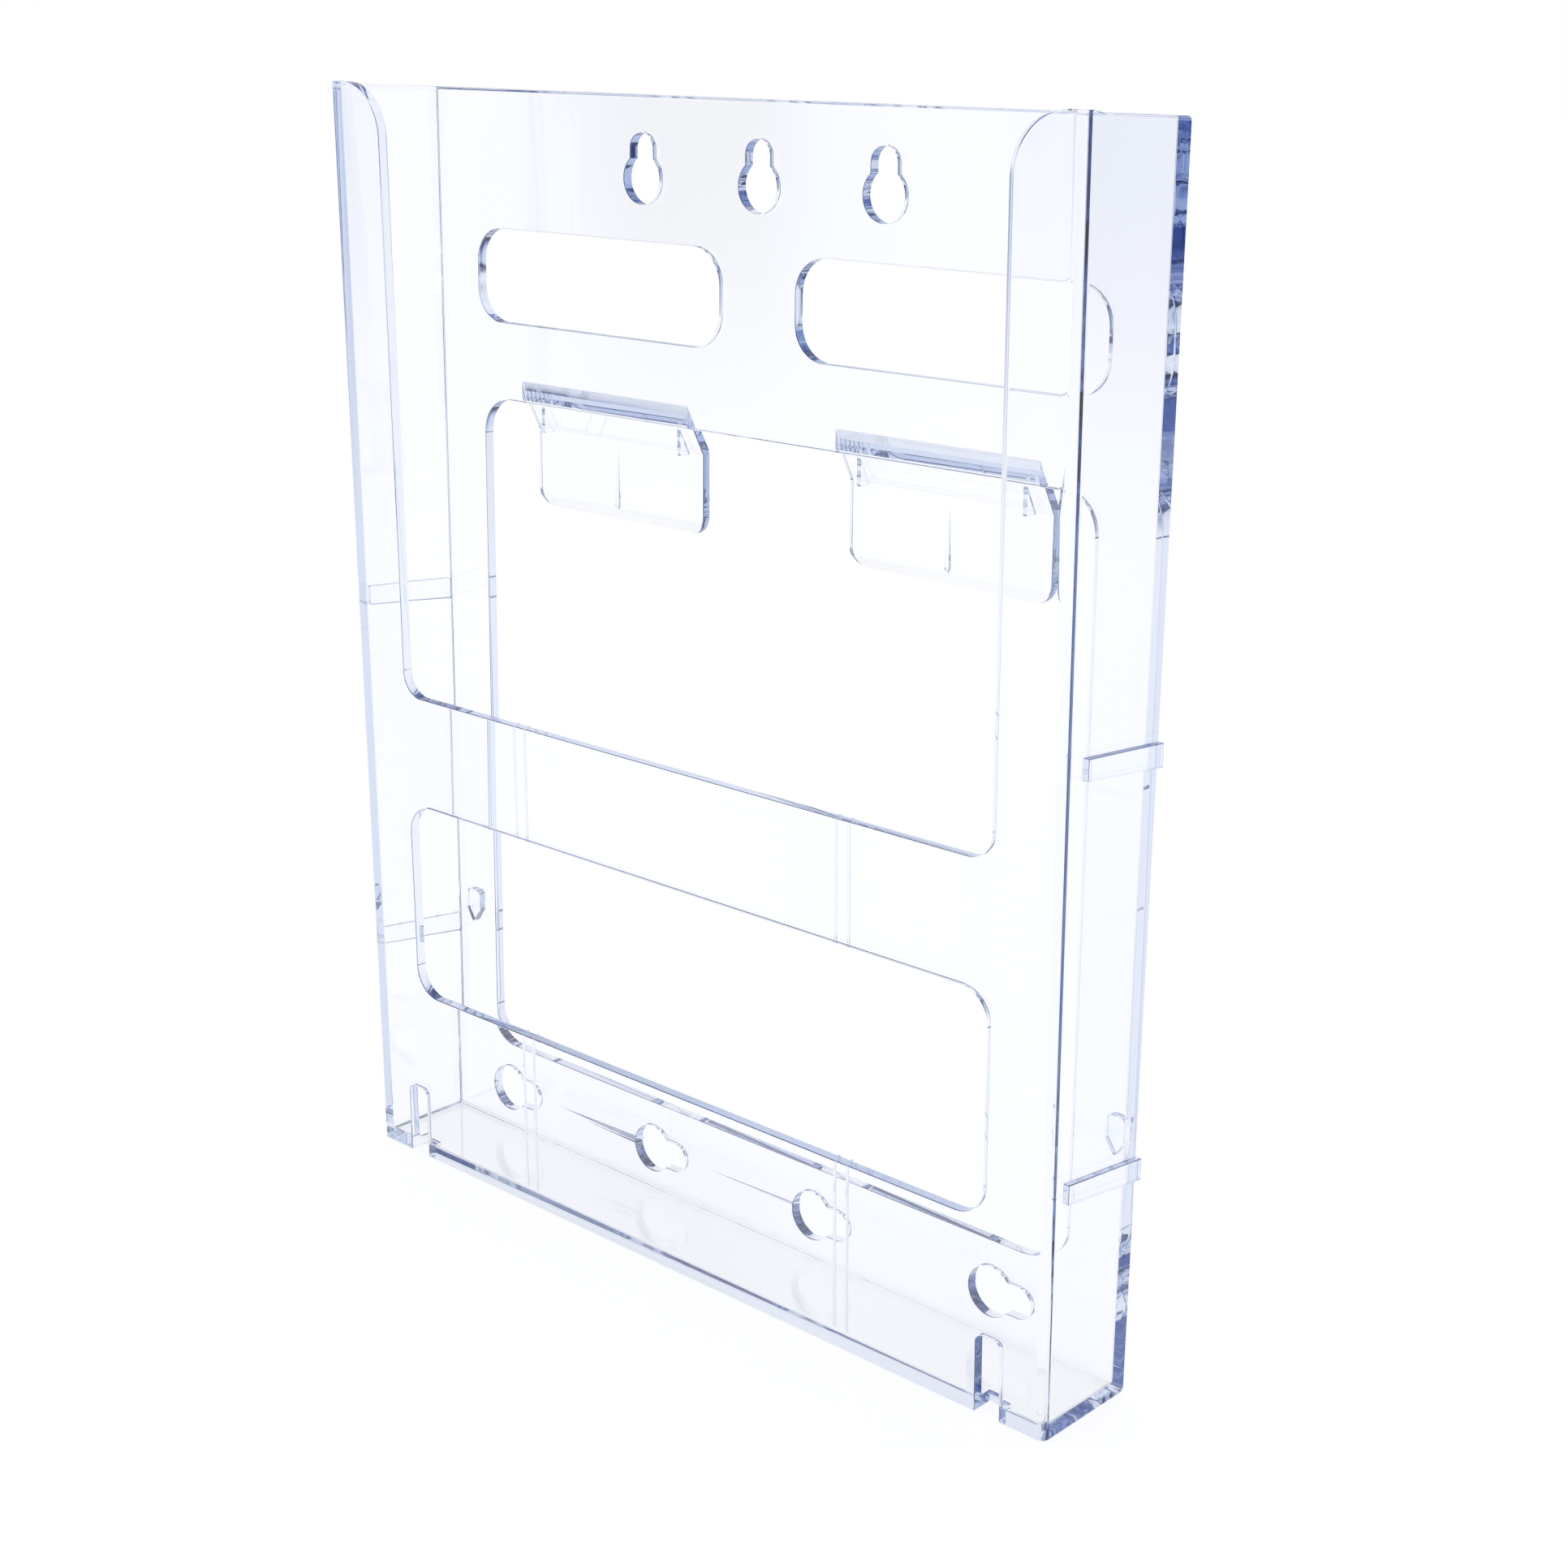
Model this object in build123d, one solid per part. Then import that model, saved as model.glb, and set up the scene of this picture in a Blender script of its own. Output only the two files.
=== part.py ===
from build123d import *
import os

# Clear plastic document pocket: one open-topped injection moulding that holds upright A4
# or letter sheets and folders, hangs on wall screws by keyholes and hooks onto the front
# band of a like pocket by two hooks on its back. Nothing moves. The moulding is cut into
# its named walls, rails, bands and features, which meet face to face.
#
# Frame: origin at the centre of the underside, +Z up, the open front faces -Y.

# ---- Driving sizes (mm) ----
BOTTOM_WIDTH = 239.6
TOP_WIDTH = 243.4
BOTTOM_DEPTH = 31.8
TOP_DEPTH = 37.0
FRONT_HEIGHT = 300.0
REAR_HEIGHT = 298.1
WALL = 3.0
INNER_RADIUS = 0.8
FRONT_CORNER_RADIUS = 2.2
REAR_BOTTOM_RADIUS = 1.5

# Front frame: two uprights, a middle band and a lower band
UPRIGHT_WIDTH = 19.5
UPRIGHT_TOP_RADIUS = 14.0
LOWER_BAND_TOP = 50.0
MIDDLE_BAND_BOTTOM = 106.0
MIDDLE_BAND_TOP = 137.1
LOWER_WINDOW_RADIUS = 8.0
THROAT_RADIUS = 6.7

# Notches in the front bottom corners
NOTCH_NEAR = 99.4
NOTCH_FAR = 106.6
NOTCH_HEIGHT = 20.4
NOTCH_DEPTH = 6.0
NOTCH_RADIUS = 2.0

# Rear panel openings
WINDOW_HALF_WIDTH = 101.5
WINDOW_BOTTOM = 28.0
WINDOW_TOP = 215.7
WINDOW_RADIUS = 9.5
SLOT_NEAR = 12.8
SLOT_FAR = 103.1
SLOT_BOTTOM = 236.7
SLOT_TOP = 261.7
SLOT_RADIUS = 9.0

# Keyholes: a round for the screw head and a narrower channel for its shank
CHANNEL_WIDTH = 8.0
TOP_KEYHOLE_RADIUS = 6.35
TOP_KEYHOLE_PITCH = 40.0
TOP_KEYHOLE_Z = 277.4
TOP_CHANNEL_END = 288.8
BOTTOM_KEYHOLE_RADIUS = 6.6
BOTTOM_KEYHOLE_PITCH = 59.0
BOTTOM_KEYHOLE_FIRST_X = -94.8
BOTTOM_KEYHOLE_Z = 14.0
BOTTOM_KEYHOLE_LENGTH = 19.3

# Hooks behind the rear panel
HOOK_CENTRE = 56.4
HOOK_WIDTH = 62.8
HOOK_GAP = 4.2
TONGUE_THICKNESS = 2.5
ROOT_TOP = 221.3
ROOT_UNDERSIDE = 216.2
OUTER_BEND = 208.9
INNER_BEND = 208.1
TONGUE_BOTTOM = 186.7
TONGUE_RADIUS = 5.0
TONGUE_BEVEL = 3.0
TONGUE_TIP = 1.2

# Ribs on the hooks
SEAT_RIB_INSET = 5.0
SEAT_RIB_WIDTH = 1.2
SEAT_RIB_FRONT = 0.9
SEAT_HEIGHT = 207.6
CRUSH_RIB_TOP = 206.4
CRUSH_RIB_BOTTOM = 189.4
CRUSH_RIB_WIDTH = 1.3
CRUSH_RIB_DEPTH = 1.0

# Rails inside the front bands, straps outside the side walls, spacers behind the panel
RAIL_CENTRE = 56.3
RAIL_SPACING = 4.0
RAIL_RADIUS = 0.45
STRAP_PROUD = 1.65
STRAP_LENGTH = 28.7
STRAP_ENDS = {"upper": (158.9, 164.1, 156.0, 161.9), "lower": (59.3, 64.3, 55.6, 61.2)}
SPACER_X = 113.0
SPACER_WIDTH = 5.4
SPACER_TOP = 70.0
SPACER_SHOULDER = 64.0
SPACER_TIP = 60.0
SPACER_PROUD = 2.5
SPACER_RADIUS = 1.4

# ---- Derived sizes ----
SIDE_LEAN = (TOP_WIDTH - BOTTOM_WIDTH) / 2 / FRONT_HEIGHT
FRONT_LEAN = (TOP_DEPTH - BOTTOM_DEPTH) / FRONT_HEIGHT
BACK_Y = BOTTOM_DEPTH / 2
CUT_CLEARANCE = WALL + INNER_RADIUS + 0.4
REACH = 400.0
SIDES = {"left": -1, "right": 1}


def side_x(z, inset=0.0):
    """Distance of a side wall's outer face from the middle plane, less an inset."""
    return BOTTOM_WIDTH / 2 + SIDE_LEAN * z - inset


def front_y(z, inset=0.0):
    """Place of the front wall's outer face, moved back by an inset."""
    return -BOTTOM_DEPTH / 2 - FRONT_LEAN * z + inset


def along_y(outline, y0, y1):
    """Prism of an X-Z outline between two Y places."""
    face = make_face(Plane.XZ * outline)
    return Pos(0, y0, 0) * extrude(face, y1 - y0, dir=(0, 1, 0))


def along_x(outline, x0, x1):
    """Prism of a Y-Z outline between two X places."""
    face = make_face(Plane.YZ * outline)
    return Pos(x0, 0, 0) * extrude(face, x1 - x0, dir=(1, 0, 0))


def leaning_block(inset, z0, z1):
    """Block that follows the leaning walls, inset equally from all four."""
    across = Polyline(
        (-side_x(z0, inset), z0),
        (side_x(z0, inset), z0),
        (side_x(z1, inset), z1),
        (-side_x(z1, inset), z1),
        close=True,
    )
    deep = Polyline(
        (front_y(z0, inset), z0),
        (BACK_Y - inset, z0),
        (BACK_Y - inset, z1),
        (front_y(z1, inset), z1),
        close=True,
    )
    return along_y(across, -REACH, REACH) & along_x(deep, -REACH, REACH)


def upright_edges(solid):
    """Edges of a block that climb from its bottom to its top."""
    return [e for e in solid.edges() if abs((e @ 1 - e @ 0).Z) > 1.0]


def group(solids):
    """One solid as it is, or several as one compound."""
    return solids[0] if len(solids) == 1 else Compound(solids)


def mirrored(shape):
    """The same shape on the other side of the middle plane."""
    return group([solid.mirror(Plane.YZ) for solid in shape.solids()])


# ---- Shell: four leaning walls and a floor ----
def make_shell():
    outer = leaning_block(0.0, 0.0, FRONT_HEIGHT)
    front_corners = [e for e in upright_edges(outer) if e.center().Y < 0]
    outer = fillet(front_corners, FRONT_CORNER_RADIUS)
    rear_bottom = outer.edges().filter_by(Axis.X).sort_by(lambda e: e.center().Z - e.center().Y)[0]
    outer = fillet(rear_bottom, REAR_BOTTOM_RADIUS)
    cavity = leaning_block(WALL, WALL, FRONT_HEIGHT + 20)
    rounded = upright_edges(cavity) + list(cavity.faces().sort_by(Axis.Z)[0].edges())
    cavity = fillet(rounded, INNER_RADIUS)
    return outer - cavity - top_trim()


def top_trim():
    """What lies above the rim, which drops a little behind the front uprights."""
    front = front_y(FRONT_HEIGHT)
    step_start = (front + 1.5, FRONT_HEIGHT)
    step_end = (front + 9.0, FRONT_HEIGHT - 0.9)
    rim_end = (BACK_Y + 1, REAR_HEIGHT)
    above = FRONT_HEIGHT + 30
    lines = Line((front - 5, FRONT_HEIGHT), step_start)
    step = Bezier(step_start, (front + 5.0, FRONT_HEIGHT), (front + 5.5, step_end[1] + 0.1), step_end)
    rest = Polyline(step_end, rim_end, (BACK_Y + 1, above), (front - 5, above), (front - 5, FRONT_HEIGHT))
    return along_x(lines + step + rest, -REACH, REACH)


# ---- Openings of the front wall ----
def throat():
    """Open upper front, with a round at the inner top corner of each upright."""
    low = MIDDLE_BAND_TOP
    high = FRONT_HEIGHT - UPRIGHT_TOP_RADIUS
    x_low = side_x(low, UPRIGHT_WIDTH)
    x_high = side_x(high, UPRIGHT_WIDTH)
    outline = Polyline((-x_high, high), (-x_low, low), (x_low, low), (x_high, high))
    lower_corners = [v for v in outline.vertices() if v.Y < low + 1]
    outline = fillet(lower_corners, THROAT_RADIUS)
    x_top = x_high + UPRIGHT_TOP_RADIUS
    round_right = RadiusArc((x_high, high), (x_top, FRONT_HEIGHT), UPRIGHT_TOP_RADIUS)
    round_left = RadiusArc((-x_high, high), (-x_top, FRONT_HEIGHT), -UPRIGHT_TOP_RADIUS)
    above = FRONT_HEIGHT + 10
    lid = Polyline((x_top, FRONT_HEIGHT), (x_top, above), (-x_top, above), (-x_top, FRONT_HEIGHT))
    return along_y(outline + round_right + round_left + lid, -REACH, 0)


def lower_window():
    """Window between the two front bands."""
    x_low = side_x(LOWER_BAND_TOP, UPRIGHT_WIDTH)
    x_high = side_x(MIDDLE_BAND_BOTTOM, UPRIGHT_WIDTH)
    outline = Polyline(
        (-x_low, LOWER_BAND_TOP),
        (x_low, LOWER_BAND_TOP),
        (x_high, MIDDLE_BAND_BOTTOM),
        (-x_high, MIDDLE_BAND_BOTTOM),
        close=True,
    )
    return along_y(fillet(outline.vertices(), LOWER_WINDOW_RADIUS), -REACH, 0)


def notch(side):
    """Slot through the front wall and into the floor, near one front corner."""
    height = NOTCH_HEIGHT + 10
    block = Box(NOTCH_FAR - NOTCH_NEAR, 50, height, align=(Align.CENTER, Align.MAX, Align.MAX))
    block = fillet(block.faces().sort_by(Axis.Z)[-1].edges().filter_by(Axis.Y), NOTCH_RADIUS)
    middle = side * (NOTCH_NEAR + NOTCH_FAR) / 2
    return Pos(middle, front_y(0) + NOTCH_DEPTH, NOTCH_HEIGHT) * block


# ---- Openings of the rear panel ----
def rear_cut(sketch):
    """Prism of an X-Z sketch through the rear panel alone."""
    return Pos(0, BACK_Y - 6, 0) * extrude(Plane.XZ * sketch, 12, dir=(0, 1, 0))


def rounded_opening(x0, x1, z0, z1, radius):
    middle = Pos((x0 + x1) / 2, (z0 + z1) / 2)
    return rear_cut(middle * RectangleRounded(x1 - x0, z1 - z0, radius))


def keyhole(x, z, radius, dx, dz):
    """Round of one radius at x, z with a channel whose end centre is dx, dz away."""
    channel = SlotCenterPoint((dx / 2, dz / 2), (dx, dz), CHANNEL_WIDTH)
    return rear_cut(Pos(x, z) * (Circle(radius) + channel))


def rear_openings():
    top_reach = TOP_CHANNEL_END - CHANNEL_WIDTH / 2 - TOP_KEYHOLE_Z
    bottom_reach = BOTTOM_KEYHOLE_LENGTH - BOTTOM_KEYHOLE_RADIUS - CHANNEL_WIDTH / 2
    cuts = [
        rounded_opening(-WINDOW_HALF_WIDTH, WINDOW_HALF_WIDTH, WINDOW_BOTTOM, WINDOW_TOP, WINDOW_RADIUS),
        rounded_opening(-SLOT_FAR, -SLOT_NEAR, SLOT_BOTTOM, SLOT_TOP, SLOT_RADIUS),
        rounded_opening(SLOT_NEAR, SLOT_FAR, SLOT_BOTTOM, SLOT_TOP, SLOT_RADIUS),
    ]
    for place in (-1, 0, 1):
        x = place * TOP_KEYHOLE_PITCH
        cuts.append(keyhole(x, TOP_KEYHOLE_Z, TOP_KEYHOLE_RADIUS, 0, top_reach))
    for place in range(4):
        x = BOTTOM_KEYHOLE_FIRST_X + place * BOTTOM_KEYHOLE_PITCH
        cuts.append(keyhole(x, BOTTOM_KEYHOLE_Z, BOTTOM_KEYHOLE_RADIUS, bottom_reach, 0))
    return cuts


# ---- Walls, rails and bands: the shell cut by planes just past its inner rounds ----
def zone(x0, x1, y0, y1, z0, z1):
    return Pos((x0 + x1) / 2, (y0 + y1) / 2, (z0 + z1) / 2) * Box(x1 - x0, y1 - y0, z1 - z0)


def between_sides():
    """All that lies between the two side walls and their corners."""
    low = -10.0
    high = FRONT_HEIGHT + 40
    outline = Polyline(
        (-side_x(low, CUT_CLEARANCE), low),
        (side_x(low, CUT_CLEARANCE), low),
        (side_x(high, CUT_CLEARANCE), high),
        (-side_x(high, CUT_CLEARANCE), high),
        close=True,
    )
    return along_y(outline, -REACH, REACH)


def cut_walls(shell):
    middle = shell & between_sides()
    ends = shell - between_sides()
    floor_top = CUT_CLEARANCE
    window_low = WINDOW_BOTTOM + WINDOW_RADIUS + 0.5
    window_high = WINDOW_TOP - WINDOW_RADIUS - 0.5
    slot_middle = (SLOT_BOTTOM + SLOT_TOP) / 2
    lower_band_end = LOWER_BAND_TOP + LOWER_WINDOW_RADIUS + 0.5
    middle_band_start = MIDDLE_BAND_BOTTOM - LOWER_WINDOW_RADIUS - 0.5
    middle_band_end = MIDDLE_BAND_TOP + THROAT_RADIUS + 0.5
    top = FRONT_HEIGHT + 20
    wide = REACH / 2
    walls = {
        "left_side_wall": ends & zone(-wide, 0, -wide, wide, -10, top),
        "right_side_wall": ends & zone(0, wide, -wide, wide, -10, top),
        "floor_panel": middle & zone(-wide, wide, -wide, wide, -10, floor_top),
        "rear_bottom_rail": middle & zone(-wide, wide, 0, wide, floor_top, window_low),
        "rear_left_stile": middle & zone(-wide, 0, 0, wide, window_low, window_high),
        "rear_right_stile": middle & zone(0, wide, 0, wide, window_low, window_high),
        "rear_hook_rail": middle & zone(-wide, wide, 0, wide, window_high, slot_middle),
        "rear_top_rail": middle & zone(-wide, wide, 0, wide, slot_middle, top),
        "front_lower_band": middle & zone(-wide, wide, -wide, 0, floor_top, lower_band_end),
        "front_middle_band": middle & zone(-wide, wide, -wide, 0, middle_band_start, middle_band_end),
    }
    for name, side in SIDES.items():
        x0, x1 = sorted((0, side * wide))
        walls[f"front_{name}_lower_upright"] = middle & zone(
            x0, x1, -wide, 0, lower_band_end, middle_band_start
        )
        walls[f"front_{name}_upper_upright"] = middle & zone(x0, x1, -wide, 0, middle_band_end, top)
    return walls


# ---- Hooks ----
HOOK_NEAR = HOOK_CENTRE - HOOK_WIDTH / 2
HOOK_FAR = HOOK_CENTRE + HOOK_WIDTH / 2
TONGUE_FRONT = BACK_Y + HOOK_GAP
TONGUE_BACK = TONGUE_FRONT + TONGUE_THICKNESS


def hook_root():
    """Sloping arm from the rear panel out to the tongue."""
    outline = Polyline(
        (BACK_Y, ROOT_TOP),
        (TONGUE_BACK, OUTER_BEND),
        (TONGUE_BACK, INNER_BEND),
        (TONGUE_FRONT, INNER_BEND),
        (BACK_Y, ROOT_UNDERSIDE),
        close=True,
    )
    return along_x(outline, HOOK_NEAR, HOOK_FAR)


def hook_tongue():
    """Flat plate hanging behind the rear window, thinned along its lower edge."""
    side_view = Polyline(
        (TONGUE_FRONT, INNER_BEND),
        (TONGUE_BACK, INNER_BEND),
        (TONGUE_BACK, TONGUE_BOTTOM),
        (TONGUE_BACK - TONGUE_TIP, TONGUE_BOTTOM),
        (TONGUE_FRONT, TONGUE_BOTTOM + TONGUE_BEVEL),
        close=True,
    )
    front_view = Polyline(
        (HOOK_NEAR, INNER_BEND),
        (HOOK_NEAR, TONGUE_BOTTOM),
        (HOOK_FAR, TONGUE_BOTTOM),
        (HOOK_FAR, INNER_BEND),
        close=True,
    )
    lower_corners = [v for v in front_view.vertices() if v.Y < TONGUE_BOTTOM + 1]
    front_view = fillet(lower_corners, TONGUE_RADIUS)
    return along_x(side_view, HOOK_NEAR, HOOK_FAR) & along_y(front_view, BACK_Y, BACK_Y + 20)


def seat_ribs():
    """Two gussets under the root whose flat undersides sit on the band they hook over."""
    slope = HOOK_GAP / (ROOT_UNDERSIDE - INNER_BEND)
    rib_top = ROOT_UNDERSIDE - SEAT_RIB_FRONT / slope
    outline = Polyline(
        (BACK_Y + SEAT_RIB_FRONT, rib_top),
        (BACK_Y + SEAT_RIB_FRONT, SEAT_HEIGHT),
        (TONGUE_FRONT, SEAT_HEIGHT),
        (TONGUE_FRONT, INNER_BEND),
        close=True,
    )
    near = HOOK_NEAR + SEAT_RIB_INSET
    far = HOOK_FAR - SEAT_RIB_INSET - SEAT_RIB_WIDTH
    return group([along_x(outline, x, x + SEAT_RIB_WIDTH) for x in (near, far)])


def crush_rib():
    """Rib down the tongue's front that deepens downwards and centres between two rails."""
    deepest = CRUSH_RIB_BOTTOM + 1.5
    outline = Polyline(
        (TONGUE_FRONT, CRUSH_RIB_TOP),
        (TONGUE_FRONT - CRUSH_RIB_DEPTH, deepest),
        (TONGUE_FRONT, CRUSH_RIB_BOTTOM),
        close=True,
    )
    start = HOOK_CENTRE - CRUSH_RIB_WIDTH / 2
    rib = along_x(outline, start, start + CRUSH_RIB_WIDTH)
    wedge = Polyline(
        (HOOK_CENTRE, CRUSH_RIB_TOP),
        (HOOK_CENTRE - CRUSH_RIB_WIDTH / 2, deepest),
        (HOOK_CENTRE, CRUSH_RIB_BOTTOM),
        (HOOK_CENTRE + CRUSH_RIB_WIDTH / 2, deepest),
        close=True,
    )
    return rib & along_y(wedge, BACK_Y, TONGUE_BACK)


# ---- Rails, straps and spacers ----
def rail_pair(z0, z1):
    """Two half-round rails up the inner face of a front band, right of the middle."""
    direction = Vector(0, -FRONT_LEAN, 1)
    rails = []
    for offset in (-RAIL_SPACING / 2, RAIL_SPACING / 2):
        place = Pos(RAIL_CENTRE + offset, front_y(z0, WALL), z0)
        half = Circle(RAIL_RADIUS) & Pos(0, RAIL_RADIUS) * Rectangle(4 * RAIL_RADIUS, 2 * RAIL_RADIUS)
        rails.append(extrude(place * half, (z1 - z0) * direction.length, dir=direction))
    return group(rails)


def strap(front_low, front_high, rear_low, rear_high):
    """Flat strap along the outside of the right side wall, a little lower at the back."""
    outline = Polyline(
        (BACK_Y - STRAP_LENGTH, front_low),
        (BACK_Y, rear_low),
        (BACK_Y, rear_high),
        (BACK_Y - STRAP_LENGTH, front_high),
        close=True,
    )
    high = FRONT_HEIGHT
    layer = Polyline(
        (side_x(0), 0),
        (side_x(0, -STRAP_PROUD), 0),
        (side_x(high, -STRAP_PROUD), high),
        (side_x(high), high),
        close=True,
    )
    return along_x(outline, 0, REACH) & along_y(layer, -REACH, REACH)


def spacer():
    """Shield-shaped stud behind the rear panel that keeps the pocket level on a wall."""
    half = SPACER_WIDTH / 2
    outline = Polyline(
        (SPACER_X - half, SPACER_TOP),
        (SPACER_X - half, SPACER_SHOULDER),
        (SPACER_X, SPACER_TIP),
        (SPACER_X + half, SPACER_SHOULDER),
        (SPACER_X + half, SPACER_TOP),
        close=True,
    )
    top_corners = [v for v in outline.vertices() if v.Y > SPACER_TOP - 1]
    return along_y(fillet(top_corners, SPACER_RADIUS), BACK_Y, BACK_Y + SPACER_PROUD)


def add_both_sides(parts, pattern, solid):
    """Store a right-hand feature and its mirror image; pattern holds {} for the side."""
    parts[pattern.format("right")] = solid
    parts[pattern.format("left")] = mirrored(solid)


def main():
    shell = make_shell() - throat() - lower_window() - notch(1) - notch(-1)
    for cut in rear_openings():
        shell = shell - cut
    parts = cut_walls(shell)
    add_both_sides(parts, "{}_hook_root", hook_root())
    add_both_sides(parts, "{}_hook_tongue", hook_tongue())
    add_both_sides(parts, "{}_hook_seat_ribs", seat_ribs())
    add_both_sides(parts, "{}_hook_crush_rib", crush_rib())
    rail_floor = CUT_CLEARANCE
    add_both_sides(parts, "lower_band_{}_rails", rail_pair(rail_floor, LOWER_BAND_TOP))
    add_both_sides(parts, "middle_band_{}_rails", rail_pair(MIDDLE_BAND_BOTTOM, MIDDLE_BAND_TOP))
    for level, ends in STRAP_ENDS.items():
        add_both_sides(parts, "{}_" + level + "_strap", strap(*ends))
    add_both_sides(parts, "{}_wall_spacer", spacer())
    os.makedirs("parts", exist_ok=True)
    for name, solid in parts.items():
        export_step(solid, f"parts/{name}.step")
        print(name, len(solid.solids()), round(solid.volume, 1))


main()
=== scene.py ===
import math

import bmesh
import bpy
from mathutils import Matrix, Vector


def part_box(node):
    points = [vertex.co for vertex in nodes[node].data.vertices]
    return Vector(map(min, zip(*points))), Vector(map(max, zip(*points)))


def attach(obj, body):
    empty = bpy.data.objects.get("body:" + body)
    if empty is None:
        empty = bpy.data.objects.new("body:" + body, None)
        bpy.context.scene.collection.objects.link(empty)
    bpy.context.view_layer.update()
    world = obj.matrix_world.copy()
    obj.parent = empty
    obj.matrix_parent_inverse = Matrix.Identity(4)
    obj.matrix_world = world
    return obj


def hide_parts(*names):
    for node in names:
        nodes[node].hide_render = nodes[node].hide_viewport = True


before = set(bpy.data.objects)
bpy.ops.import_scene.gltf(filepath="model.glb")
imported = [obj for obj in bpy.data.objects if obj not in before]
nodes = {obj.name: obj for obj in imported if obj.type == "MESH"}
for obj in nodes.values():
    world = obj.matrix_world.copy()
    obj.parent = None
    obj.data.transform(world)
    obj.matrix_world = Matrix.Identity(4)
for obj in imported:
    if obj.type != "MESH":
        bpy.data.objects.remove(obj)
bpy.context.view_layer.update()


# ---- Floor panel ----
# The closed bottom of the pocket, from its underside up to just past the inner round.
# The whole pocket is one shot of clear polystyrene, so the material, the rounded edges and
# the way that a piece joins its neighbours are made here and used all the way down.
EDGE_ROUND = 0.0003
EDGE_STEPS = 2
RIM_ROUND = 0.0011
RIM_STEPS = 5
RIM_DEPTH = 0.0005
TRUE_ROUND = 0.5
SHARPEST_SMOOTH_BEND = math.radians(50)
ROUNDED_ABOVE = math.radians(32)
FLAT_WITHIN = math.radians(0.4)
FACES_HOST = 0.95
FACE_SIZE_ONLY = 100
WELD = 0.000003
ON_PLANE = 0.000006
SUNK = 0.00002
SET_BACK = 0.000002
WALL_RIPPLE = 0.00001
FEATURE_RIPPLE = 0.000004

PLASTIC_INDEX = 1.58
PLASTIC_CLEAR = (0.993, 0.995, 0.9995)
PLASTIC_FAINT_BLUE = (0.986, 0.990, 0.998)
KEPT_IN_BLUE = (0.928, 0.943, 0.974)

low_end, floor_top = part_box("floor_panel")
top_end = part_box("rear_top_rail")[1]
lean = Vector((top_end.x - floor_top.x, 0, top_end.z - floor_top.z)).normalized()
joint_planes = [
    (Vector((floor_top.x, 0, floor_top.z)), Vector((lean.z, 0, -lean.x))),
    (Vector((-floor_top.x, 0, floor_top.z)), Vector((-lean.z, 0, -lean.x))),
]
for name in (
    "rear_bottom_rail",
    "rear_left_stile",
    "rear_hook_rail",
    "rear_top_rail",
    "front_left_lower_upright",
    "front_middle_band",
    "front_left_upper_upright",
    "left_hook_root",
):
    joint_planes.append((Vector((0, 0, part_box(name)[0].z)), Vector((0, 0, 1))))


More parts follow.
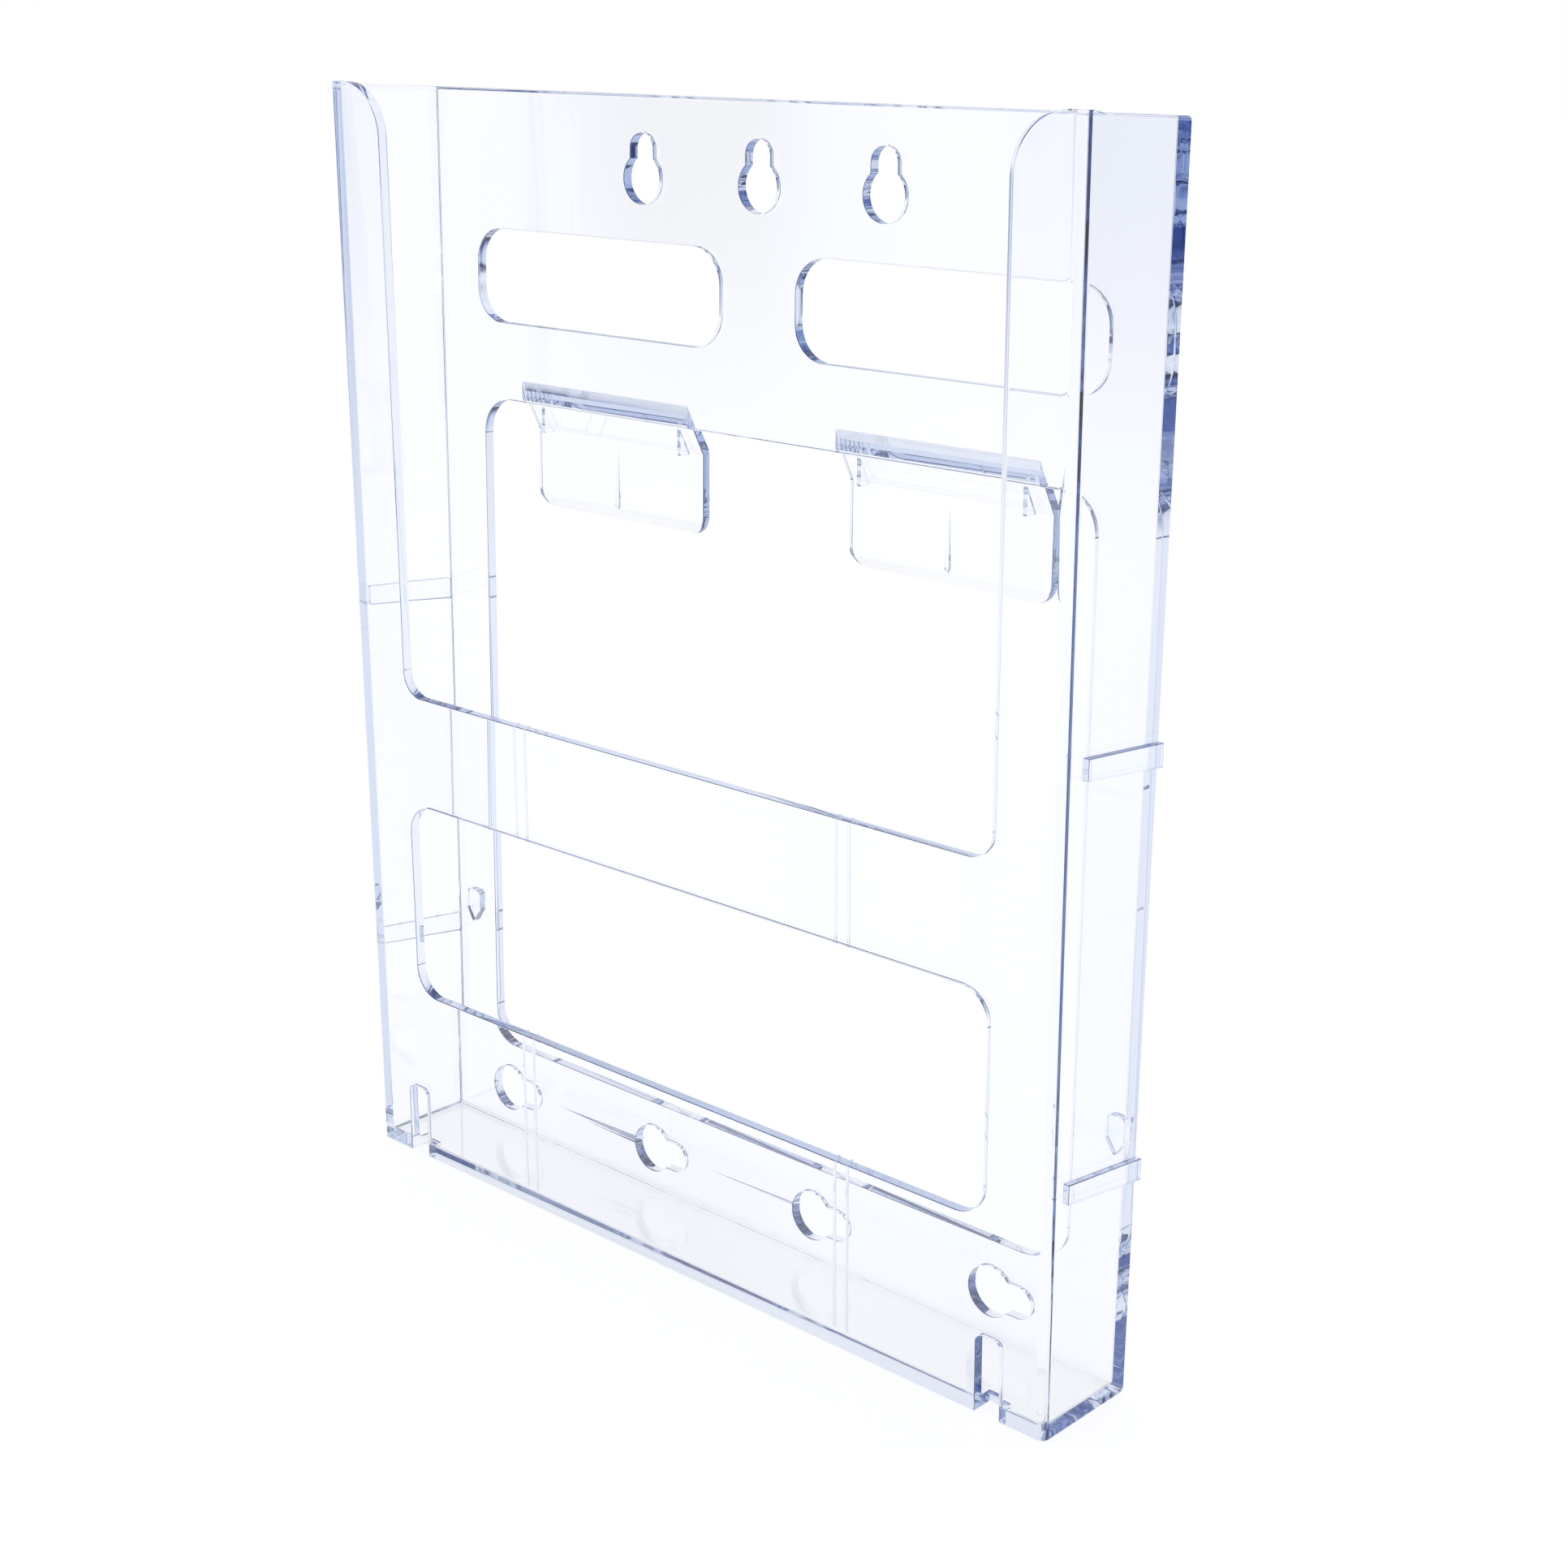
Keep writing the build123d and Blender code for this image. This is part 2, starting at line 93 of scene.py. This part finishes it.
def clear_polystyrene(name, ripple):
    """Clear moulded plastic: faint blue body colour, slow flow ripple, near-polished skin."""
    material = bpy.data.materials.new(name)
    material.use_nodes = True
    tree = material.node_tree
    tree.nodes.clear()
    new = tree.nodes.new
    link = tree.links.new

    place_frame = new("NodeFrame")
    place_frame.label = "Where on the moulding"
    place = new("ShaderNodeTexCoord")
    place.label = "Place in the object"
    place.location = (-1200, 0)
    stretch = new("ShaderNodeMapping")
    stretch.label = "Flow runs up the walls"
    stretch.location = (-1000, 0)
    stretch.inputs["Scale"].default_value = (1.0, 1.0, 0.35)
    for node in (place, stretch):
        node.parent = place_frame

    colour_frame = new("NodeFrame")
    colour_frame.label = "Body colour"
    cloud = new("ShaderNodeTexNoise")
    cloud.label = "Slow change of tint"
    cloud.location = (-780, 220)
    cloud.inputs["Scale"].default_value = 18.0
    cloud.inputs["Detail"].default_value = 2.0
    tint_ramp = new("ShaderNodeValToRGB")
    tint_ramp.label = "Clear to faint blue"
    tint_ramp.location = (-560, 220)
    tint_ramp.color_ramp.elements[0].position = 0.35
    tint_ramp.color_ramp.elements[0].color = (*PLASTIC_CLEAR, 1)
    tint_ramp.color_ramp.elements[1].position = 0.7
    tint_ramp.color_ramp.elements[1].color = (*PLASTIC_FAINT_BLUE, 1)
    for node in (cloud, tint_ramp):
        node.parent = colour_frame

    skin_frame = new("NodeFrame")
    skin_frame.label = "Skin left by the mould"
    polish = new("ShaderNodeTexNoise")
    polish.label = "Uneven polish"
    polish.location = (-780, -60)
    polish.inputs["Scale"].default_value = 60.0
    polish.inputs["Detail"].default_value = 3.0
    polish_range = new("ShaderNodeMapRange")
    polish_range.label = "Nearly mirror smooth"
    polish_range.location = (-560, -60)
    polish_range.inputs["To Min"].default_value = 0.0
    polish_range.inputs["To Max"].default_value = 0.008
    flow = new("ShaderNodeTexNoise")
    flow.label = "Flow ripple"
    flow.location = (-780, -340)
    flow.inputs["Scale"].default_value = 26.0
    flow.inputs["Detail"].default_value = 1.0
    ripple_bump = new("ShaderNodeBump")
    ripple_bump.label = "Ripple in the surface"
    ripple_bump.location = (-560, -340)
    ripple_bump.inputs["Strength"].default_value = 0.6
    ripple_bump.inputs["Distance"].default_value = ripple
    for node in (polish, polish_range, flow, ripple_bump):
        node.parent = skin_frame

    light_frame = new("NodeFrame")
    light_frame.label = "Light in clear plastic"
    bends = new("ShaderNodeBsdfRefraction")
    bends.label = "Light that passes the skin"
    bends.location = (-240, 160)
    bends.inputs["IOR"].default_value = PLASTIC_INDEX
    mirrors = new("ShaderNodeBsdfAnisotropic")
    mirrors.label = "Light kept in by the skin, bluer at each turn"
    mirrors.location = (-240, -60)
    mirrors.inputs["Color"].default_value = (*KEPT_IN_BLUE, 1)
    angle_share = new("ShaderNodeFresnel")
    angle_share.label = "More mirror at low angles"
    angle_share.location = (-240, 320)
    angle_share.inputs["IOR"].default_value = PLASTIC_INDEX
    plastic = new("ShaderNodeMixShader")
    plastic.label = "Clear polystyrene"
    plastic.location = (-20, 100)
    for node in (bends, mirrors, angle_share, plastic):
        node.parent = light_frame
    output = new("ShaderNodeOutputMaterial")
    output.label = "Moulded plastic"
    output.location = (180, 100)

    link(place.outputs["Object"], stretch.inputs["Vector"])
    link(stretch.outputs["Vector"], cloud.inputs["Vector"])
    link(cloud.outputs["Fac"], tint_ramp.inputs["Fac"])
    link(tint_ramp.outputs["Color"], bends.inputs["Color"])
    link(place.outputs["Object"], polish.inputs["Vector"])
    link(polish.outputs["Fac"], polish_range.inputs["Value"])
    link(polish_range.outputs["Result"], bends.inputs["Roughness"])
    link(polish_range.outputs["Result"], mirrors.inputs["Roughness"])
    link(stretch.outputs["Vector"], flow.inputs["Vector"])
    link(flow.outputs["Fac"], ripple_bump.inputs["Height"])
    link(ripple_bump.outputs["Normal"], bends.inputs["Normal"])
    link(ripple_bump.outputs["Normal"], mirrors.inputs["Normal"])
    link(ripple_bump.outputs["Normal"], angle_share.inputs["Normal"])
    link(angle_share.outputs["Fac"], plastic.inputs["Fac"])
    link(bends.outputs["BSDF"], plastic.inputs[1])
    link(mirrors.outputs["BSDF"], plastic.inputs[2])
    link(plastic.outputs["Shader"], output.inputs["Surface"])
    return material


def unbroken_plastic(name):
    """What light meets where two named pieces are one body of plastic: nothing."""
    material = bpy.data.materials.new(name)
    material.use_nodes = True
    tree = material.node_tree
    tree.nodes.clear()
    inside_frame = tree.nodes.new("NodeFrame")
    inside_frame.label = "Unbroken plastic"
    through = tree.nodes.new("ShaderNodeBsdfTransparent")
    through.label = "No surface inside the plastic"
    through.location = (-240, 0)
    through.parent = inside_frame
    output = tree.nodes.new("ShaderNodeOutputMaterial")
    output.label = "Inside of the moulding"
    output.location = (0, 0)
    tree.links.new(through.outputs["BSDF"], output.inputs["Surface"])
    return material


clear_wall = clear_polystyrene("clear_polystyrene_wall", WALL_RIPPLE)
clear_feature = clear_polystyrene("clear_polystyrene_feature", FEATURE_RIPPLE)
joined_inside = unbroken_plastic("joined_plastic")


def everything(bm):
    """All of a mesh, for a cut that goes right through it."""
    return [*bm.verts, *bm.edges, *bm.faces]


def joint_faces(bm, point, direction):
    """Faces on one plane where the moulding is only divided into named pieces."""
    return [
        f for f in bm.faces if all(abs((v.co - point).dot(direction)) < ON_PLANE for v in f.verts)
    ]


def on_back_rim(place):
    """Whether a corner lies on the rear edge of the rim, which has the larger round."""
    return abs(place.y - top_end.y) < WELD and place.z > top_end.z - RIM_DEPTH


def moulded(name, material, levels=(), into=(0, 0, 0), rounded=True):
    """A named piece with small rounds on its outside edges, sunk a hair into its host."""
    mesh = nodes[name].data.copy()
    mesh.name = name
    into = Vector(into)
    bm = bmesh.new()
    bm.from_mesh(mesh)
    bmesh.ops.remove_doubles(bm, verts=bm.verts, dist=WELD)
    for level in levels:
        cut = bmesh.ops.bisect_plane(
            bm, geom=everything(bm), plane_co=(0, 0, level), plane_no=(0, 0, 1)
        )
        for part in cut["geom_cut"]:
            if isinstance(part, bmesh.types.BMEdge):
                part.seam = True
    bmesh.ops.dissolve_limit(
        bm, angle_limit=FLAT_WITHIN, verts=bm.verts, edges=bm.edges, delimit={"SEAM"}
    )
    back_rim = [e for e in bm.edges if all(on_back_rim(v.co) for v in e.verts)]
    if back_rim:
        bmesh.ops.bevel(
            bm,
            geom=back_rim,
            offset=RIM_ROUND,
            offset_type="OFFSET",
            segments=RIM_STEPS,
            profile=TRUE_ROUND,
            affect="EDGES",
        )
    if rounded:
        hidden = {f for f in bm.faces if f.normal.dot(into) > FACES_HOST}
        for point, direction in joint_planes:
            hidden.update(joint_faces(bm, point, direction))
        edges = [
            e
            for e in bm.edges
            if e.is_manifold
            and e.calc_face_angle_signed(0) > ROUNDED_ABOVE
            and not hidden.intersection(e.link_faces)
        ]
        bmesh.ops.bevel(
            bm,
            geom=edges,
            offset=EDGE_ROUND,
            offset_type="OFFSET",
            segments=EDGE_STEPS,
            profile=TRUE_ROUND,
            affect="EDGES",
            clamp_overlap=False,
            loop_slide=True,
        )
    for face in bm.faces:
        face.smooth = True
        face.material_index = 0
    for point, direction in joint_planes:
        faces = joint_faces(bm, point, direction)
        for face in faces:
            face.material_index = 1
        if faces:
            ends = {v for f in faces for v in f.verts}
            bmesh.ops.translate(bm, verts=list(ends), vec=-faces[0].normal * SET_BACK)
    bmesh.ops.translate(bm, verts=bm.verts, vec=into * SUNK)
    mesh.materials.clear()
    mesh.materials.append(material)
    mesh.materials.append(joined_inside)
    bm.to_mesh(mesh)
    bm.free()
    mesh.set_sharp_from_angle(angle=SHARPEST_SMOOTH_BEND)
    piece = bpy.data.objects.new("clear_" + name, mesh)
    bpy.context.scene.collection.objects.link(piece)
    flats = piece.modifiers.new("flats stay flat", "WEIGHTED_NORMAL")
    flats.keep_sharp = True
    flats.weight = FACE_SIZE_ONLY
    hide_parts(name)
    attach(piece, "root")
    return piece


moulded("floor_panel", clear_wall)

# ---- Side walls ----
# The two closed ends of the pocket, each with its front and rear corner: the front one has
# the larger outside round, and the rim steps down a little at the rear one. They are part
# of the same shot, drafted so that the pocket leaves the tool.
for side in ("left", "right"):
    moulded(f"{side}_side_wall", clear_wall)

# ---- Rear panel ----
# A bottom rail with four keyholes lying on their sides, two narrow stiles, a rail that
# carries the hooks under two long finger slots, and a top rail with three upright
# keyholes. Together they frame the large open window.
LOWER_KEYHOLES_HEIGHT = 0.014
UPPER_KEYHOLES_HEIGHT = 0.2776
moulded("rear_bottom_rail", clear_wall, levels=[LOWER_KEYHOLES_HEIGHT])
moulded("rear_left_stile", clear_wall)
moulded("rear_right_stile", clear_wall)
moulded("rear_hook_rail", clear_wall)
moulded("rear_top_rail", clear_wall, levels=[UPPER_KEYHOLES_HEIGHT])

# ---- Front frame ----
# A lower and a middle band between two uprights hold the papers in. The uprights end in
# large rounds at the open throat, and the bands' bottom corners are notched.
moulded("front_lower_band", clear_wall)
moulded("front_middle_band", clear_wall)
for side in ("left", "right"):
    moulded(f"front_{side}_lower_upright", clear_wall)
    moulded(f"front_{side}_upper_upright", clear_wall)

# ---- Hooks ----
# Two plates hang behind the rear window from sloping roots, to hook over the front band of
# a like pocket. Gussets under each root seat on that band, and a small rib centres it.
for side in ("left", "right"):
    moulded(f"{side}_hook_root", clear_feature, into=(0, -1, 0))
    moulded(f"{side}_hook_tongue", clear_feature)
    moulded(f"{side}_hook_seat_ribs", clear_feature, into=(0, 1, 1), rounded=False)
    moulded(f"{side}_hook_crush_rib", clear_feature, into=(0, 1, 0), rounded=False)

# ---- Rails inside the front bands ----
# Pairs of half-round ribs moulded on the inner face of both bands, between which the
# hooks of another pocket are centred.
for band in ("lower_band", "middle_band"):
    for side in ("left", "right"):
        moulded(f"{band}_{side}_rails", clear_feature, into=(0, -1, 0), rounded=False)

# ---- Straps outside the side walls ----
# Two raised sloping bars across each side wall, moulded on as grips and stiffeners.
for side, inwards in (("left", 1), ("right", -1)):
    for place in ("upper", "lower"):
        moulded(f"{side}_{place}_strap", clear_feature, into=(inwards, 0, 0))

# ---- Spacers behind the rear panel ----
# Two small studs with rounded heads that keep the bottom of the pocket off the wall.
for side in ("left", "right"):
    moulded(f"{side}_wall_spacer", clear_feature, into=(0, -1, 0))

# ---- Table top ----
# A wide, plain, near-white sheet under the pocket, a hair below its underside. It glows a
# little, as a sheet lit evenly from all round does, so that no hard shadow falls on it.
TABLE_REACH = 8.0
TABLE_CELLS = 8
TABLE_BELOW = 0.0002
bm = bmesh.new()
bmesh.ops.create_grid(bm, x_segments=TABLE_CELLS, y_segments=TABLE_CELLS, size=TABLE_REACH)
bmesh.ops.translate(bm, verts=bm.verts, vec=(0, 0, low_end.z - TABLE_BELOW))
floor_mesh = bpy.data.meshes.new("table_top")
bm.to_mesh(floor_mesh)
bm.free()
table_top = bpy.data.objects.new("table_top", floor_mesh)
bpy.context.scene.collection.objects.link(table_top)
table_white = bpy.data.materials.new("table_white")
table_white.use_nodes = True
tree = table_white.node_tree
tree.nodes.clear()
sheet_frame = tree.nodes.new("NodeFrame")
sheet_frame.label = "Matt, evenly lit sheet"
matt = tree.nodes.new("ShaderNodeBsdfDiffuse")
matt.label = "Matt white sheet"
matt.location = (-400, 100)
matt.inputs["Color"].default_value = (0.3, 0.3, 0.3, 1)
glow = tree.nodes.new("ShaderNodeEmission")
glow.label = "Evenly lit from all round"
glow.location = (-400, -60)
glow.inputs["Strength"].default_value = 0.86
both = tree.nodes.new("ShaderNodeAddShader")
both.label = "Bright plain ground"
both.location = (-180, 20)
for node in (matt, glow, both):
    node.parent = sheet_frame
output = tree.nodes.new("ShaderNodeOutputMaterial")
output.label = "Table top"
output.location = (20, 20)
tree.links.new(matt.outputs["BSDF"], both.inputs[0])
tree.links.new(glow.outputs["Emission"], both.inputs[1])
tree.links.new(both.outputs["Shader"], output.inputs["Surface"])
floor_mesh.materials.append(table_white)

# ---- Studio ----
# A white cove all round, with a deep-blue ceiling between its lamps and a dim room behind
# the camera. Soft blue boards stand on the table to either side. Only the edges and bends
# of the plastic pick any of it up.
WHITE = (1.0, 1.0, 1.0, 1)
BLACK = (0.0, 0.0, 0.0, 1)
NAVY = (0.02, 0.03, 0.09, 1)
DIM = (0.05, 0.065, 0.11, 1)
PERIWINKLE = (0.24, 0.32, 0.56, 1)
PALE = (0.78, 0.83, 0.95, 1)
BOARD_RADIUS = 0.95
BOARD_HEIGHT = 0.75
BOARD_STEP = 2
BOARD_SECTORS = {"left_board": (200, 262), "right_board": (14, 68)}
FOOT_FADES_BY = 0.24
ROOM_LEFT_EDGE = 0.5 - 85 / 360
ROOM_LEFT = 0.5 - 66 / 360
ROOM_RIGHT = 0.5 - 30 / 360
ROOM_RIGHT_EDGE = 0.5 - 12 / 360
CEILING_STARTS = math.radians(27)
CEILING_FULL = math.radians(40)
DIM_ROOM_STARTS = math.radians(4)
DIM_ROOM_FULL = math.radians(11)

board_cloth = bpy.data.materials.new("blue_board_cloth")
board_cloth.use_nodes = True
tree = board_cloth.node_tree
tree.nodes.clear()
new = tree.nodes.new
link = tree.links.new
cloth_frame = new("NodeFrame")
cloth_frame.label = "Folded blue cloth"
place = new("ShaderNodeTexCoord")
place.label = "Place on the board"
place.location = (-1000, 0)
upright = new("ShaderNodeMapping")
upright.label = "Stripes stand upright"
upright.location = (-820, 0)
upright.inputs["Scale"].default_value = (1.0, 1.0, 0.12)
folds = new("ShaderNodeTexNoise")
folds.label = "Folds of the cloth"
folds.location = (-640, 0)
folds.inputs["Scale"].default_value = 5.0
folds.inputs["Detail"].default_value = 1.0
cloth_ramp = new("ShaderNodeValToRGB")
cloth_ramp.label = "Navy, blue and pale folds"
cloth_ramp.location = (-460, 0)
cloth_ramp.color_ramp.elements[0].position = 0.37
cloth_ramp.color_ramp.elements[0].color = NAVY
cloth_ramp.color_ramp.elements[1].position = 0.53
cloth_ramp.color_ramp.elements[1].color = PALE
cloth_ramp.color_ramp.elements.new(0.44).color = PERIWINKLE
for node in (place, upright, folds, cloth_ramp):
    node.parent = cloth_frame
foot_frame = new("NodeFrame")
foot_frame.label = "White foot"
foot = new("ShaderNodeSeparateXYZ")
foot.label = "Height on the board"
foot.location = (-820, 260)
fade = new("ShaderNodeMapRange")
fade.label = "Pale at the foot"
fade.location = (-640, 260)
fade.interpolation_type = "SMOOTHSTEP"
fade.inputs["From Min"].default_value = 0.0
fade.inputs["From Max"].default_value = FOOT_FADES_BY
washed = new("ShaderNodeMix")
washed.data_type = "RGBA"
washed.label = "Foot washed out to white"
washed.location = (-300, 120)
washed.inputs[6].default_value = WHITE
for node in (foot, fade, washed):
    node.parent = foot_frame
cloth = new("ShaderNodeEmission")
cloth.label = "Evenly lit cloth"
cloth.location = (-180, 0)
output = new("ShaderNodeOutputMaterial")
output.label = "Blue board"
output.location = (20, 0)
link(place.outputs["Object"], upright.inputs["Vector"])
link(upright.outputs["Vector"], folds.inputs["Vector"])
link(folds.outputs["Fac"], cloth_ramp.inputs["Fac"])
link(place.outputs["Object"], foot.inputs["Vector"])
link(foot.outputs["Z"], fade.inputs["Value"])
link(fade.outputs["Result"], washed.inputs["Factor"])
link(cloth_ramp.outputs["Color"], washed.inputs[7])
link(washed.outputs[2], cloth.inputs["Color"])
link(cloth.outputs["Emission"], output.inputs["Surface"])

for name, (start, end) in BOARD_SECTORS.items():
    bm = bmesh.new()
    columns = []
    for degrees in range(start, end + 1, BOARD_STEP):
        angle = math.radians(degrees)
        x, y = BOARD_RADIUS * math.cos(angle), BOARD_RADIUS * math.sin(angle)
        columns.append((bm.verts.new((x, y, 0.0)), bm.verts.new((x, y, BOARD_HEIGHT))))
    for (low_a, high_a), (low_b, high_b) in zip(columns, columns[1:]):
        bm.faces.new((low_a, low_b, high_b, high_a))
    board_mesh = bpy.data.meshes.new(name)
    bm.to_mesh(board_mesh)
    bm.free()
    board_mesh.materials.append(board_cloth)
    board = bpy.data.objects.new(name, board_mesh)
    bpy.context.scene.collection.objects.link(board)
    board.visible_camera = False
    board.visible_diffuse = False
    board.visible_shadow = False

world = bpy.data.worlds.new("studio")
bpy.context.scene.world = world
world.use_nodes = True
tree = world.node_tree
tree.nodes.clear()
new = tree.nodes.new
link = tree.links.new
turn_frame = new("NodeFrame")
turn_frame.label = "Which way the light comes from"
direction = new("ShaderNodeTexCoord")
direction.label = "Direction"
direction.location = (-1400, 0)
apart = new("ShaderNodeSeparateXYZ")
apart.label = "Split the direction"
apart.location = (-1200, 0)
turn = new("ShaderNodeMath")
turn.operation = "ARCTAN2"
turn.label = "Compass angle"
turn.location = (-1000, 60)
share = new("ShaderNodeMapRange")
share.label = "Angle as a share of a turn"
share.location = (-820, 60)
share.inputs["From Min"].default_value = -math.pi
share.inputs["From Max"].default_value = math.pi
for node in (direction, apart, turn, share):
    node.parent = turn_frame
sides_frame = new("NodeFrame")
sides_frame.label = "Blue to either side of a white cove"
sides = new("ShaderNodeValToRGB")
sides.label = "Blue to either side"
sides.location = (-620, 60)
stops = [
    (-165, WHITE),
    (-152, PALE),
    (-136, PERIWINKLE),
    (-128, NAVY),
    (-120, PERIWINKLE),
    (-105, PALE),
    (-92, WHITE),
    (8, WHITE),
    (20, PALE),
    (36, PERIWINKLE),
    (42, NAVY),
    (48, PERIWINKLE),
    (60, PALE),
    (70, WHITE),
]
ramp = sides.color_ramp
ramp.elements[0].position = 0.5 + stops[0][0] / 360
ramp.elements[0].color = stops[0][1]
ramp.elements[1].position = 0.5 + stops[1][0] / 360
ramp.elements[1].color = stops[1][1]
for degrees, colour in stops[2:]:
    ramp.elements.new(0.5 + degrees / 360).color = colour
sides.parent = sides_frame
ceiling_frame = new("NodeFrame")
ceiling_frame.label = "Ceiling"
spots = new("ShaderNodeTexNoise")
spots.label = "Lamps between dark ceiling"
spots.location = (-820, -260)
spots.inputs["Scale"].default_value = 2.2
spots.inputs["Detail"].default_value = 1.0
ceiling = new("ShaderNodeValToRGB")
ceiling.label = "Dark ceiling and lamps"
ceiling.location = (-620, -260)
ceiling.color_ramp.elements[0].position = 0.44
ceiling.color_ramp.elements[0].color = NAVY
ceiling.color_ramp.elements[1].position = 0.58
ceiling.color_ramp.elements[1].color = WHITE
ceiling.color_ramp.elements.new(0.50).color = PERIWINKLE
height = new("ShaderNodeMapRange")
height.label = "Where the ceiling starts"
height.location = (-620, -520)
height.interpolation_type = "SMOOTHSTEP"
height.inputs["From Min"].default_value = math.sin(CEILING_STARTS)
height.inputs["From Max"].default_value = math.sin(CEILING_FULL)
for node in (spots, ceiling, height):
    node.parent = ceiling_frame
behind_frame = new("NodeFrame")
behind_frame.label = "Dim room"
behind = new("ShaderNodeValToRGB")
behind.label = "Width of the dim room"
behind.location = (-620, 320)
behind.color_ramp.elements[0].position = ROOM_LEFT_EDGE
behind.color_ramp.elements[0].color = BLACK
behind.color_ramp.elements[1].position = ROOM_LEFT
behind.color_ramp.elements[1].color = WHITE
behind.color_ramp.elements.new(ROOM_RIGHT).color = WHITE
behind.color_ramp.elements.new(ROOM_RIGHT_EDGE).color = BLACK
above_table = new("ShaderNodeMapRange")
above_table.label = "Only above the table's edge"
above_table.location = (-820, 520)
above_table.interpolation_type = "SMOOTHSTEP"
above_table.inputs["From Min"].default_value = math.sin(DIM_ROOM_STARTS)
above_table.inputs["From Max"].default_value = math.sin(DIM_ROOM_FULL)
dark_part = new("ShaderNodeMath")
dark_part.operation = "MULTIPLY"
dark_part.label = "Where the dim room shows"
dark_part.location = (-420, 420)
round_about = new("ShaderNodeMix")
round_about.data_type = "RGBA"
round_about.label = "Sides and dim room"
round_about.location = (-320, 200)
round_about.inputs[7].default_value = DIM
for node in (behind, above_table, dark_part, round_about):
    node.parent = behind_frame
cove_frame = new("NodeFrame")
cove_frame.label = "The whole room"
room = new("ShaderNodeMix")
room.data_type = "RGBA"
room.label = "Walls and ceiling"
room.location = (-220, 0)
seen = new("ShaderNodeLightPath")
seen.label = "What looks at the cove"
seen.location = (-320, 320)
plain = new("ShaderNodeMix")
plain.data_type = "RGBA"
plain.label = "The camera sees it plain"
plain.location = (-120, 120)
plain.inputs[7].default_value = WHITE
cove = new("ShaderNodeBackground")
cove.label = "White cove"
cove.location = (80, 120)
cove.inputs["Strength"].default_value = 1.0
for node in (room, seen, plain, cove):
    node.parent = cove_frame
output = new("ShaderNodeOutputWorld")
output.label = "Studio"
output.location = (280, 120)
link(direction.outputs["Generated"], apart.inputs["Vector"])
link(direction.outputs["Generated"], spots.inputs["Vector"])
link(apart.outputs["Y"], turn.inputs[0])
link(apart.outputs["X"], turn.inputs[1])
link(turn.outputs["Value"], share.inputs["Value"])
link(share.outputs["Result"], sides.inputs["Fac"])
link(spots.outputs["Fac"], ceiling.inputs["Fac"])
link(apart.outputs["Z"], height.inputs["Value"])
link(height.outputs["Result"], room.inputs["Factor"])
link(share.outputs["Result"], behind.inputs["Fac"])
link(apart.outputs["Z"], above_table.inputs["Value"])
link(behind.outputs["Color"], dark_part.inputs[0])
link(above_table.outputs["Result"], dark_part.inputs[1])
link(dark_part.outputs["Value"], round_about.inputs["Factor"])
link(sides.outputs["Color"], round_about.inputs[6])
link(round_about.outputs[2], room.inputs[6])
link(ceiling.outputs["Color"], room.inputs[7])
link(seen.outputs["Is Camera Ray"], plain.inputs["Factor"])
link(room.outputs[2], plain.inputs[6])
link(plain.outputs[2], cove.inputs["Color"])
link(cove.outputs["Background"], output.inputs["Surface"])

# ---- Camera ----
# The eye is a little above the rim, off the right front corner, and looks down at the
# pocket. Light may turn many times inside the plastic before it comes out of an edge.
CAMERA_PLACE = (0.4233, -0.4398, 0.3174)
CAMERA_YAW = math.radians(42.37)
CAMERA_PITCH = math.radians(14.61)
CAMERA_ROLL = math.radians(0.56)
LENS = 57.95
SENSOR = 36.0
LENS_SHIFT = -0.07
NEAREST = 0.01
FARTHEST = 50.0
TURNS_OF_LIGHT = 64
JOINTS_PASSED = 32
camera_data = bpy.data.cameras.new("camera")
camera_data.lens = LENS
camera_data.sensor_width = SENSOR
camera_data.shift_y = LENS_SHIFT
camera_data.clip_start = NEAREST
camera_data.clip_end = FARTHEST
camera = bpy.data.objects.new("camera", camera_data)
camera.matrix_world = (
    Matrix.Translation(CAMERA_PLACE)
    @ Matrix.Rotation(CAMERA_YAW, 4, "Z")
    @ Matrix.Rotation(math.pi / 2 - CAMERA_PITCH, 4, "X")
    @ Matrix.Rotation(CAMERA_ROLL, 4, "Z")
)
bpy.context.scene.collection.objects.link(camera)
bpy.context.scene.camera = camera
bpy.context.scene.view_settings.view_transform = "Standard"
bpy.context.scene.cycles.max_bounces = TURNS_OF_LIGHT
bpy.context.scene.cycles.transmission_bounces = TURNS_OF_LIGHT
bpy.context.scene.cycles.glossy_bounces = TURNS_OF_LIGHT
bpy.context.scene.cycles.transparent_max_bounces = JOINTS_PASSED
